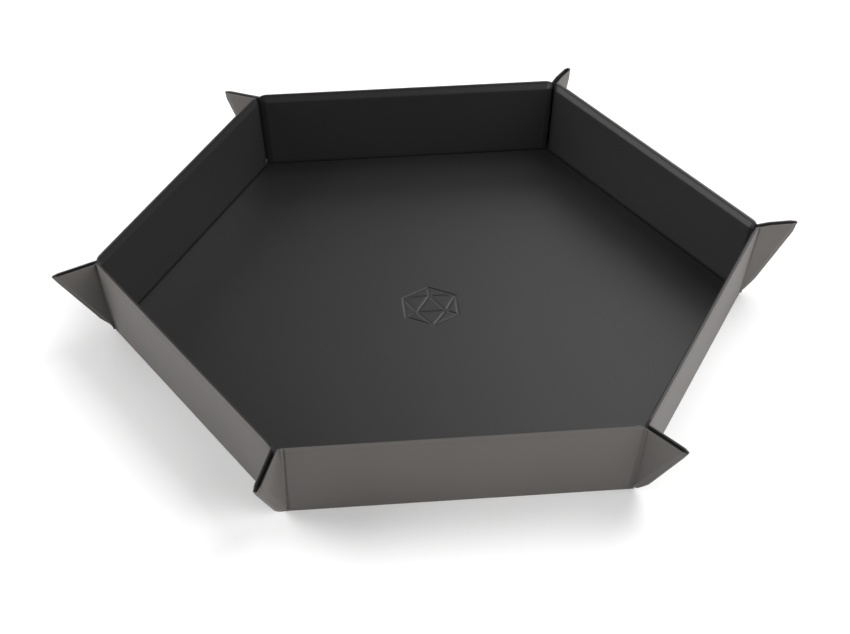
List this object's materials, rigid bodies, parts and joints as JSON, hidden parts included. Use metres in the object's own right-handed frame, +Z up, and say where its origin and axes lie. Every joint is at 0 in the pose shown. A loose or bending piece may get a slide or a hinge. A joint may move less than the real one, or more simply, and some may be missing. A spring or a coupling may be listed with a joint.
{
  "type": "folding dice tray",
  "caption": "Hexagonal tray of padded soft laminate with hinged upright walls and pinched magnetic corner ears; folds flat.",
  "frame": {"origin": "centre of the floor's underside", "axes": "+Z up out of the tray, +Y towards the back wall, +X towards the right-hand corner"},
  "size_m": [0.3002, 0.2631, 0.0352],
  "materials": {
    "outer_skin": "matte",
    "inner_lining": "matte",
    "stiffener": "matte",
    "magnet_card": "matte"
  },
  "bodies": {
    "floor": {"floor_skin": "outer_skin", "floor_board": "stiffener", "floor_lining": "inner_lining"},
    "wall_back_right": {"wall_back_right_skin": "outer_skin", "wall_back_right_board": "stiffener", "wall_back_right_lining": "inner_lining"},
    "ear_back_right_clockwise": {"ear_back_right_clockwise_skin": "outer_skin", "ear_back_right_clockwise_lining": "inner_lining", "ear_back_right_clockwise_magnet_card": "magnet_card"},
    "ear_back_right_counter": {"ear_back_right_counter_skin": "outer_skin", "ear_back_right_counter_lining": "inner_lining", "ear_back_right_counter_magnet_card": "magnet_card"},
    "wall_back": {"wall_back_skin": "outer_skin", "wall_back_board": "stiffener", "wall_back_lining": "inner_lining"},
    "ear_back_clockwise": {"ear_back_clockwise_skin": "outer_skin", "ear_back_clockwise_lining": "inner_lining", "ear_back_clockwise_magnet_card": "magnet_card"},
    "ear_back_counter": {"ear_back_counter_skin": "outer_skin", "ear_back_counter_lining": "inner_lining", "ear_back_counter_magnet_card": "magnet_card"},
    "wall_back_left": {"wall_back_left_skin": "outer_skin", "wall_back_left_board": "stiffener", "wall_back_left_lining": "inner_lining"},
    "ear_back_left_clockwise": {"ear_back_left_clockwise_skin": "outer_skin", "ear_back_left_clockwise_lining": "inner_lining", "ear_back_left_clockwise_magnet_card": "magnet_card"},
    "ear_back_left_counter": {"ear_back_left_counter_skin": "outer_skin", "ear_back_left_counter_lining": "inner_lining", "ear_back_left_counter_magnet_card": "magnet_card"},
    "wall_front_left": {"wall_front_left_skin": "outer_skin", "wall_front_left_board": "stiffener", "wall_front_left_lining": "inner_lining"},
    "ear_front_left_clockwise": {"ear_front_left_clockwise_skin": "outer_skin", "ear_front_left_clockwise_lining": "inner_lining", "ear_front_left_clockwise_magnet_card": "magnet_card"},
    "ear_front_left_counter": {"ear_front_left_counter_skin": "outer_skin", "ear_front_left_counter_lining": "inner_lining", "ear_front_left_counter_magnet_card": "magnet_card"},
    "wall_front": {"wall_front_skin": "outer_skin", "wall_front_board": "stiffener", "wall_front_lining": "inner_lining"},
    "ear_front_clockwise": {"ear_front_clockwise_skin": "outer_skin", "ear_front_clockwise_lining": "inner_lining", "ear_front_clockwise_magnet_card": "magnet_card"},
    "ear_front_counter": {"ear_front_counter_skin": "outer_skin", "ear_front_counter_lining": "inner_lining", "ear_front_counter_magnet_card": "magnet_card"},
    "wall_front_right": {"wall_front_right_skin": "outer_skin", "wall_front_right_board": "stiffener", "wall_front_right_lining": "inner_lining"},
    "ear_front_right_clockwise": {"ear_front_right_clockwise_skin": "outer_skin", "ear_front_right_clockwise_lining": "inner_lining", "ear_front_right_clockwise_magnet_card": "magnet_card"},
    "ear_front_right_counter": {"ear_front_right_counter_skin": "outer_skin", "ear_front_right_counter_lining": "inner_lining", "ear_front_right_counter_magnet_card": "magnet_card"}
  },
  "joints": [
    {"name": "wall_front_fold", "type": "hinge", "parent": "floor", "child": "wall_front", "pos_m": [0, -0.11233, 0.00025], "axis": [1, 0, 0], "range_deg": [0, 82.7]},
    {"name": "wall_back_right_fold", "type": "hinge", "parent": "floor", "child": "wall_back_right", "pos_m": [0.09728, 0.05617, 0.00025], "axis": [-0.5, 0.866, 0], "range_deg": [0, 82.7]},
    {"name": "wall_back_fold", "type": "hinge", "parent": "floor", "child": "wall_back", "pos_m": [0, 0.11233, 0.00025], "axis": [-1, 0, 0], "range_deg": [0, 82.7]},
    {"name": "wall_back_left_fold", "type": "hinge", "parent": "floor", "child": "wall_back_left", "pos_m": [-0.09728, 0.05617, 0.00025], "axis": [-0.5, -0.866, 0], "range_deg": [0, 82.7]},
    {"name": "wall_front_left_fold", "type": "hinge", "parent": "floor", "child": "wall_front_left", "pos_m": [-0.09728, -0.05617, 0.00025], "axis": [0.5, -0.866, 0], "range_deg": [0, 82.7]},
    {"name": "wall_front_right_fold", "type": "hinge", "parent": "floor", "child": "wall_front_right", "pos_m": [0.09728, -0.05617, 0.00025], "axis": [0.5, 0.866, 0], "range_deg": [0, 82.7]},
    {"name": "ear_front_clockwise_fold", "type": "hinge", "parent": "wall_front", "child": "ear_front_clockwise", "pos_m": [-0.06324, -0.11233, 0.00025], "axis": [0.0732, 0.1267, -0.9892], "range_deg": [0, 67.77]},
    {"name": "ear_front_counter_fold", "type": "hinge", "parent": "wall_front", "child": "ear_front_counter", "pos_m": [0.06324, -0.11233, 0.00025], "axis": [0.0732, -0.1267, 0.9892], "range_deg": [0, 43.77]},
    {"name": "ear_back_right_clockwise_fold", "type": "hinge", "parent": "wall_back_right", "child": "ear_back_right_clockwise", "pos_m": [0.1289, 0.0014, 0.00025], "axis": [-0.1463, 0, -0.9892], "range_deg": [0, 76.27]},
    {"name": "ear_back_right_counter_fold", "type": "hinge", "parent": "wall_back_right", "child": "ear_back_right_counter", "pos_m": [0.06566, 0.11093, 0.00025], "axis": [0.0732, 0.1267, 0.9892], "range_deg": [0, 59.77]},
    {"name": "ear_back_clockwise_fold", "type": "hinge", "parent": "wall_back", "child": "ear_back_clockwise", "pos_m": [0.06324, 0.11233, 0.00025], "axis": [-0.0732, -0.1267, -0.9892], "range_deg": [0, 60.77]},
    {"name": "ear_back_counter_fold", "type": "hinge", "parent": "wall_back", "child": "ear_back_counter", "pos_m": [-0.06324, 0.11233, 0.00025], "axis": [-0.0732, 0.1267, 0.9892], "range_deg": [0, 39.77]},
    {"name": "ear_back_left_clockwise_fold", "type": "hinge", "parent": "wall_back_left", "child": "ear_back_left_clockwise", "pos_m": [-0.06566, 0.11093, 0.00025], "axis": [0.0732, -0.1267, -0.9892], "range_deg": [0, 80.77]},
    {"name": "ear_back_left_counter_fold", "type": "hinge", "parent": "wall_back_left", "child": "ear_back_left_counter", "pos_m": [-0.1289, 0.0014, 0.00025], "axis": [-0.1463, 0, 0.9892], "range_deg": [0, 48.27]},
    {"name": "ear_front_left_clockwise_fold", "type": "hinge", "parent": "wall_front_left", "child": "ear_front_left_clockwise", "pos_m": [-0.1289, -0.0014, 0.00025], "axis": [0.1463, 0, -0.9892], "range_deg": [0, 72.27]},
    {"name": "ear_front_left_counter_fold", "type": "hinge", "parent": "wall_front_left", "child": "ear_front_left_counter", "pos_m": [-0.06566, -0.11093, 0.00025], "axis": [-0.0732, -0.1267, 0.9892], "range_deg": [0, 52.77]},
    {"name": "ear_front_right_clockwise_fold", "type": "hinge", "parent": "wall_front_right", "child": "ear_front_right_clockwise", "pos_m": [0.06566, -0.11093, 0.00025], "axis": [-0.0732, 0.1267, -0.9892], "range_deg": [0, 76.77]},
    {"name": "ear_front_right_counter_fold", "type": "hinge", "parent": "wall_front_right", "child": "ear_front_right_counter", "pos_m": [0.1289, -0.0014, 0.00025], "axis": [0.1463, 0, 0.9892], "range_deg": [0, 44.27]}
  ],
  "couplings": [
    {"joint": "wall_back_right_fold", "follows": "wall_front_fold", "ratio": 1},
    {"joint": "wall_back_fold", "follows": "wall_front_fold", "ratio": 1},
    {"joint": "wall_back_left_fold", "follows": "wall_front_fold", "ratio": 1},
    {"joint": "wall_front_left_fold", "follows": "wall_front_fold", "ratio": 1},
    {"joint": "wall_front_right_fold", "follows": "wall_front_fold", "ratio": 1},
    {"joint": "ear_front_clockwise_fold", "follows": "wall_front_fold", "ratio": 0.81944},
    {"joint": "ear_front_counter_fold", "follows": "wall_front_fold", "ratio": 0.52924},
    {"joint": "ear_back_right_clockwise_fold", "follows": "wall_front_fold", "ratio": 0.92222},
    {"joint": "ear_back_right_counter_fold", "follows": "wall_front_fold", "ratio": 0.72271},
    {"joint": "ear_back_clockwise_fold", "follows": "wall_front_fold", "ratio": 0.7348},
    {"joint": "ear_back_counter_fold", "follows": "wall_front_fold", "ratio": 0.48087},
    {"joint": "ear_back_left_clockwise_fold", "follows": "wall_front_fold", "ratio": 0.97664},
    {"joint": "ear_back_left_counter_fold", "follows": "wall_front_fold", "ratio": 0.58365},
    {"joint": "ear_front_left_clockwise_fold", "follows": "wall_front_fold", "ratio": 0.87386},
    {"joint": "ear_front_left_counter_fold", "follows": "wall_front_fold", "ratio": 0.63806},
    {"joint": "ear_front_right_clockwise_fold", "follows": "wall_front_fold", "ratio": 0.92827},
    {"joint": "ear_front_right_counter_fold", "follows": "wall_front_fold", "ratio": 0.53528}
  ]
}
